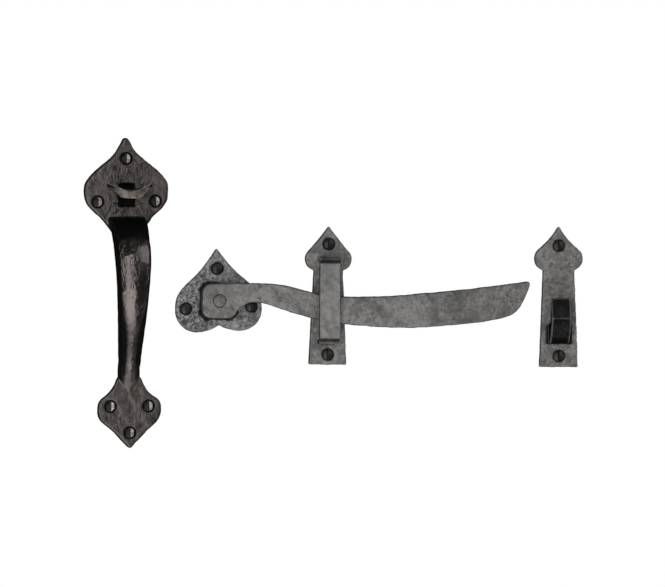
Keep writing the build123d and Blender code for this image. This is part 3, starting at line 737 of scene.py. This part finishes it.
def slot_shade(places):
    """Painted shade: black round the lever's slot."""
    across = np.abs(places[:, 0] - SLOT_MIDDLE[0]) - SLOT_HALF_SIZE[0]
    up = np.abs(places[:, 2] - SLOT_MIDDLE[1]) - SLOT_HALF_SIZE[1]
    beyond = np.hypot(np.maximum(across, 0), np.maximum(up, 0))
    return DEEP_SHADE * (1.0 - smooth_step(beyond, *SLOT_FADE)) * smooth_step(places[:, 1], *PLATE_ONLY)


def pad_shade(places):
    """Painted shade: the lever is dark behind its pad, which shades it."""
    return smooth_step(places[:, 1], PAD_BACK - PAD_FADE, PAD_BACK)


def heel_swell(places):
    """Fills out the lever's heel in its slot, which the even mesh leaves a little thin."""
    behind_pad = smooth_step(places[:, 1], PAD_BACK, PAD_BACK + MM)
    return HEEL_FILL * behind_pad * smooth_step(-places[:, 1], -MM, 0.0)


def heart_crease(places):
    """Crinkled at the left, calmer towards the point and the right lobe."""
    return CALM_CREASE + (1.0 - CALM_CREASE) * (1.0 - smooth_step(places[:, 0], *HEART_CALM))


def eye_shade(places):
    """Painted shade: a dark ring on the plate where the bar's square eye ends, below and left of it."""
    across, up = np.abs(places[:, 0]), np.abs(places[:, 2])
    corner = np.hypot(np.maximum(across - EYE_FLAT, 0), np.maximum(up - EYE_FLAT, 0))
    beyond = corner - (EYE_HALF_WIDTH - EYE_FLAT)
    lower_left = smooth_step(-places[:, 0] - places[:, 2], *EYE_SHADE_SIDE)
    width = EYE_SHADE_WIDTH + EYE_SHADE_CORNER * smooth_step(np.minimum(across, up), *EYE_CORNER)
    return DEEP_SHADE * lower_left * (1.0 - smooth_step(beyond, EYE_SHADE_CORE * width, width))


def staple_shade(places):
    """Painted shade along both sides of the strap."""
    return STAPLE_SHADE * smooth_step(np.abs(places[:, 0] - staple_x), *STAPLE_SIDE)


def hammered_piece(node, name, finish, seed, dents, wrinkles, grains, stretch=1.0, cracks=None,
                   grain=PLATE_GRAIN, holes=(), body="fittings", slot="plate_finish", strength=even,
                   crease=even, shade=nowhere, swell=nowhere, turned=TURNED_AWAY, flank=DARK_FLANK,
                   edge_turn=EDGE_TURN):
    """A casting: the node's own form with relief. Dents, wrinkles, grains and cracks are size and depth."""
    piece = fine_copy(node, name, grain)
    mark_form(piece, grain, holes, strength, crease, shade, swell, turned, flank, edge_turn)
    values = {"Wrinkle stretch": stretch, "Seed": seed, "Finish": finish}
    values["Dent size"], values["Dent depth"] = dents
    values["Wrinkle size"], values["Wrinkle height"] = wrinkles
    values["Grain size"], values["Grain depth"] = grains
    if cracks:
        values["Crack size"], values["Crack depth"] = cracks
    baked(piece, hammered, values)
    finish_piece(piece, body, slot, node)


hammered_piece(
    "pull_handle", "pull_handle_casting", handle_iron, seed=0.13,
    dents=(8 * MM, 0.55 * MM), wrinkles=(4.2 * MM, 0.5 * MM), grains=(1.8 * MM, 0.06 * MM), stretch=2.0,
    holes=holes_for("handle"), slot="handle_lacquer", strength=handle_strength,
    crease=handle_crease, shade=slot_shade,
)
hammered_piece(
    "pivot_plate", "heart_plate_casting", heart_iron, seed=0.41,
    dents=(6 * MM, 0.3 * MM), wrinkles=(2.2 * MM, 0.34 * MM), grains=(1.4 * MM, 0.14 * MM),
    holes=holes_for("pivot"), slot="heart_finish", crease=heart_crease, shade=eye_shade,
)
hammered_piece(
    "guide_plate", "guide_plate_casting", plate_iron, seed=0.77,
    dents=(6 * MM, 0.4 * MM), wrinkles=(3.2 * MM, 0.18 * MM), grains=(1.6 * MM, 0.1 * MM),
    holes=holes_for("guide"),
)
hammered_piece(
    "catch_plate", "catch_plate_casting", plate_iron, seed=0.29,
    dents=(5 * MM, 0.5 * MM), wrinkles=(3.4 * MM, 0.22 * MM), grains=(1.6 * MM, 0.1 * MM),
    holes=holes_for("catch"),
)
hammered_piece(
    "latch_bar", "latch_bar_forging", bar_iron, seed=0.57,
    dents=(9 * MM, 0.5 * MM), wrinkles=(5 * MM, 0.18 * MM), grains=(1.8 * MM, 0.1 * MM),
    cracks=(7 * MM, 0.4 * MM), holes=[(0.0, 0.0, BAR_HOLE_RADIUS)], body="bar", slot="hammered_finish",
)
hammered_piece(
    "guide_staple", "guide_staple_strap", strap_iron, seed=0.91, grain=SMOOTH_GRAIN,
    dents=(9 * MM, 0.14 * MM), wrinkles=(5 * MM, 0.05 * MM), grains=(1.5 * MM, 0.05 * MM),
    slot="strap_finish", turned=STRAP_TURNED, flank=STRAP_FLANK, shade=staple_shade,
)
hammered_piece(
    "catch_hook", "catch_hook_forging", hook_iron, seed=0.35, grain=SMOOTH_GRAIN,
    dents=(8 * MM, 0.1 * MM), wrinkles=(5 * MM, 0.0), grains=(1.5 * MM, 0.03 * MM),
    slot="strap_finish", edge_turn=HOOK_EDGE_TURN,
)
hammered_piece(
    "thumb_lever", "thumb_lever_forging", lever_iron, seed=0.66, grain=SMOOTH_GRAIN,
    dents=(7 * MM, 0.12 * MM), wrinkles=(5 * MM, 0.0), grains=(1.4 * MM, 0.04 * MM),
    body="lever", slot="handle_lacquer", shade=pad_shade, swell=heel_swell,
)


# Screw threads: one helix, set behind every screw's plain shank

def thread_tree():
    """A helical ridge along +Y at every point of the mesh."""
    tree, given, result = new_tree("screw threads", [
        ("Root radius", "NodeSocketFloat", THREAD_ROOT),
        ("Ridge height", "NodeSocketFloat", THREAD_CREST - THREAD_ROOT),
        ("Length", "NodeSocketFloat", THREAD_LENGTH),
        ("Turns", "NodeSocketFloat", THREAD_LENGTH / THREAD_PITCH),
        ("Finish", "NodeSocketMaterial", None),
    ])
    wiring = Wiring(tree)
    root = given.outputs["Root radius"]
    helix = wiring.node("GeometryNodeCurveSpiral", {
        "Resolution": THREAD_STEPS, "Rotations": given.outputs["Turns"], "Start Radius": root,
        "End Radius": root, "Height": given.outputs["Length"],
    })
    profile = wiring.node("GeometryNodeCurvePrimitiveCircle", {
        "Resolution": THREAD_SIDES, "Radius": given.outputs["Ridge height"],
    })
    ridge = wiring.node("GeometryNodeCurveToMesh", {
        "Curve": helix.outputs[0], "Profile Curve": profile.outputs["Curve"], "Fill Caps": True,
    })
    along = wiring.node("GeometryNodeTransform", {
        "Geometry": ridge.outputs[0], "Rotation": (math.radians(-90), 0.0, 0.0),
    })
    placed = wiring.node("GeometryNodeInstanceOnPoints", {
        "Points": given.outputs["Geometry"], "Instance": along.outputs[0],
    })
    finish_tree(wiring, placed.outputs[0], given, result)
    return tree


def build_threads():
    """One piece with the threads of all the screws, each behind its plain shank."""
    starts = []
    for screw in screw_names:
        x, z = middle_of(screw)
        starts.append((x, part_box(screw)[0][1] + SCREW_DOME + THREAD_START, z))
    mesh = bpy.data.meshes.new("screw_threads")
    mesh.from_pydata(starts, [], [])
    piece = new_piece("screw_threads", mesh)
    baked(piece, thread_tree(), {"Finish": screw_iron})
    finish_piece(piece, "fittings", "screw_finish")


build_threads()


# Pieces whose CAD form is right as it is

def repaint(node, material):
    """Gives a node of the model its finish."""
    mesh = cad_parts[node].data
    mesh.materials.clear()
    mesh.materials.append(material)


def paint_slot(node, brightened):
    """Paints shadow into a screw's slot and, where asked, a highlight on the right half of its head."""
    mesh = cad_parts[node].data
    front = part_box(node)[0][1]
    middle = middle_of(node)[0]
    mesh.materials.append(slot_shadow)
    mesh.materials.append(highlighted_screw_iron)
    for face in mesh.polygons:
        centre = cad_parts[node].matrix_world @ face.center
        below = centre.y - front
        inside = abs(centre.x - middle) < SLOT_HALF_WIDTH and SLOT_DEPTHS[0] < below < SLOT_DEPTHS[1]
        # Painted highlight on the right half of a handle screw's head
        highlighted_half = brightened and 0 < centre.x - middle < HIGHLIGHT_REACH and below < HIGHLIGHT_DEPTH
        face.material_index = 1 if inside else 2 if highlighted_half else 0


for screw_name in screw_names:
    on_handle = screw_name.startswith("handle")
    repaint(screw_name, screw_iron if on_handle else dark_screw_iron)
    paint_slot(screw_name, brightened=on_handle)
repaint("pivot_rivet", rivet_iron)
repaint("pivot_washer", dull_steel)
repaint("thumb_pin", dull_steel)


# Studio: a pale floor, soft lamps, and a white world behind the object

def add_lamp(name, place, aim, width, height, power, colour):
    lamp = bpy.data.lights.new(name, "AREA")
    lamp.shape = "RECTANGLE"
    lamp.size = width
    lamp.size_y = height
    lamp.energy = power
    lamp.color = colour
    holder = new_piece(name, lamp)
    holder.location = place
    holder.rotation_euler = (Vector(aim) - Vector(place)).to_track_quat("-Z", "Y").to_euler()


def build_floor():
    """A pale floor that the camera and mirrors see almost white, with the object's shadow on it."""
    top = cad_box[0][2] - FLOOR_DROP
    grid = bmesh.new()
    bmesh.ops.create_grid(grid, x_segments=1, y_segments=1, size=FLOOR_HALF_SIZE)
    bmesh.ops.translate(grid, verts=grid.verts, vec=(CAMERA_TARGET[0], FLOOR_MIDDLE_Y, top))
    mesh = bpy.data.meshes.new("studio_floor")
    grid.to_mesh(mesh)
    grid.free()
    floor = new_piece("studio_floor", mesh)
    material, wiring, shader, place = new_material("pale_floor")
    cloud = wiring.noise(place, FLOOR_CLOUDS, detail=2.0)
    wiring.feed(shader.inputs["Base Color"], wiring.blend_colour(cloud, *FLOOR_TONES))
    shader.inputs["Roughness"].default_value = FLOOR_ROUGHNESS
    path = wiring.node("ShaderNodeLightPath").outputs
    seen = wiring.math("MAXIMUM", path["Is Camera Ray"], path["Is Transmission Ray"])
    seen = wiring.times(wiring.math("MAXIMUM", seen, path["Is Glossy Ray"]), FLOOR_WHITE)
    white = wiring.node("ShaderNodeEmission", {"Color": WHITE, "Strength": 1.0})
    mixed = wiring.node("ShaderNodeMixShader", {0: seen, 1: shader.outputs[0], 2: white.outputs[0]})
    wiring.feed(material.node_tree.nodes["Material Output"].inputs["Surface"], mixed.outputs[0])
    mesh.materials.append(material)


def build_world():
    """White to the camera; mirrors see it white only towards the back, or black paint would turn grey."""
    world = bpy.data.worlds.new("studio")
    bpy.context.scene.world = world
    world.use_nodes = True
    world.node_tree.nodes.clear()
    wiring = Wiring(world.node_tree)
    path = wiring.node("ShaderNodeLightPath").outputs
    direction = wiring.node("ShaderNodeTexCoord").outputs["Generated"]
    depth = wiring.node("ShaderNodeSeparateXYZ", {0: direction}).outputs["Y"]
    mirrored = wiring.times(path["Is Glossy Ray"], wiring.ramp(depth, *WHITE_BEHIND))
    seen = wiring.math("MAXIMUM", path["Is Camera Ray"], path["Is Transmission Ray"])
    seen = wiring.math("MAXIMUM", seen, mirrored)
    dim = wiring.ramp(path["Is Glossy Ray"], 0.0, 1.0, WORLD_LIGHT, WORLD_IN_GLOSS, smooth=False)
    lighting = wiring.node("ShaderNodeBackground", {"Color": WORLD_COLOUR, "Strength": dim})
    white = wiring.node("ShaderNodeBackground", {"Color": WHITE, "Strength": 1.0})
    mix = wiring.node("ShaderNodeMixShader", {0: seen, 1: lighting.outputs[0], 2: white.outputs[0]})
    wiring.node("ShaderNodeOutputWorld", {"Surface": mix.outputs[0]})


def build_camera():
    """A long lens, a little to the left of straight on, that frames the set as the picture does."""
    camera = bpy.data.cameras.new("camera")
    camera.sensor_width = SENSOR_WIDTH
    camera.sensor_fit = "HORIZONTAL"
    camera.lens = SENSOR_WIDTH * CAMERA_DISTANCE / PICTURE_WIDTH
    camera.clip_end = CLIP_END
    holder = new_piece("camera", camera)
    away = Vector((math.sin(CAMERA_AZIMUTH), -math.cos(CAMERA_AZIMUTH), 0.0))
    holder.location = Vector(CAMERA_TARGET) + CAMERA_DISTANCE * away
    holder.rotation_euler = (-away).to_track_quat("-Z", "Y").to_euler()
    bpy.context.scene.camera = holder


build_floor()
build_world()
build_camera()
for lamp_row in LAMPS:
    add_lamp(*lamp_row)

bpy.context.scene.view_settings.view_transform = "Standard"
